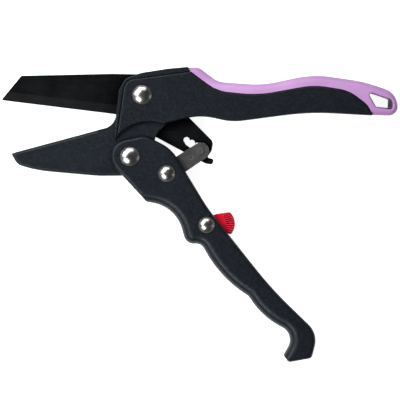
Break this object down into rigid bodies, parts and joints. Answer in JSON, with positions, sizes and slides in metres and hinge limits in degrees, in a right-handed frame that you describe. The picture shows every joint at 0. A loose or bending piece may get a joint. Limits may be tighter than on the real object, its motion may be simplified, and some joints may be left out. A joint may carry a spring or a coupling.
{
  "type": "pruning shears",
  "caption": "Anvil pruning shears with a ratchet link, lying open: dark blade over a flat anvil jaw, black handles, lilac soft grip with a lanyard hole and a red thumb latch.",
  "frame": {"origin": "on the blade pivot's axis, at the flat rear end of its rivet, which is the plane the shears lie on", "axes": "+X along the upper handle towards its end, +Y towards the upper handle's outer edge, +Z out of the front side; the jaws point to -X"},
  "size_m": [0.1981, 0.1477, 0.016],
  "materials": {
    "black_nylon": "matte glass-filled nylon, fine moulded grain",
    "lilac_grip": "satin thermoplastic rubber",
    "blade_coating": "dark satin non-stick coating on ground steel",
    "grey_steel": "stamped steel, dull",
    "spring_steel": "drawn wire",
    "polished_steel": "polished rivet heads",
    "white_nylon": "natural nylon",
    "red_plastic": "glossy moulded red"
  },
  "bodies": {
    "upper_handle": {"anvil_body": "black_nylon", "upper_handle_front_shell": "black_nylon", "upper_handle_rear_shell": "black_nylon", "soft_grip": "lilac_grip", "blade_pivot_rivet": "polished_steel", "blade_pivot_bush": "grey_steel", "handle_pivot_rivet": "polished_steel", "handle_pivot_bush": "grey_steel", "handle_washer_front": "white_nylon", "handle_washer_rear": "white_nylon", "opening_spring": "spring_steel"},
    "blade": {"blade": "blade_coating"},
    "lower_handle": {"lower_handle": "black_nylon", "link_pivot_rivet": "polished_steel", "link_spacer_front": "grey_steel", "link_spacer_rear": "grey_steel", "latch_pivot_rivet": "polished_steel", "latch_washer_front": "white_nylon", "latch_washer_rear": "white_nylon"},
    "link": {"link_front": "grey_steel", "link_rear": "grey_steel", "link_centre_sleeve": "grey_steel", "ratchet_pin": "grey_steel", "pawl_spring": "spring_steel"},
    "latch": {"safety_latch": "red_plastic"}
  },
  "joints": [
    {"name": "handle_pivot", "type": "hinge", "parent": "upper_handle", "child": "lower_handle", "pos_m": [-0.0061, -0.03085, 0.007], "axis": [0, 0, 1], "range_deg": [0, 44], "stiffness_Nm_per_rad": 0.15, "springref_deg": -34.38, "deforming": ["opening_spring"]},
    {"name": "blade_pivot", "type": "hinge", "parent": "upper_handle", "child": "blade", "pos_m": [0, 0, 0.007], "axis": [0, 0, 1], "range_deg": [0, 22]},
    {"name": "link_pivot", "type": "hinge", "parent": "lower_handle", "child": "link", "pos_m": [0.01238, -0.03942, 0.007], "axis": [0, 0, 1], "range_deg": [-47.08, 0], "deforming": ["pawl_spring"]},
    {"name": "latch_pivot", "type": "hinge", "parent": "lower_handle", "child": "latch", "pos_m": [0.03229, -0.06512, 0.007], "axis": [0, 0, 1], "range_deg": [0, 24]}
  ],
  "couplings": [
    {"joint": "blade_pivot", "follows": "handle_pivot", "ratio": 0.5},
    {"joint": "link_pivot", "follows": "handle_pivot", "ratio": -1.07}
  ]
}
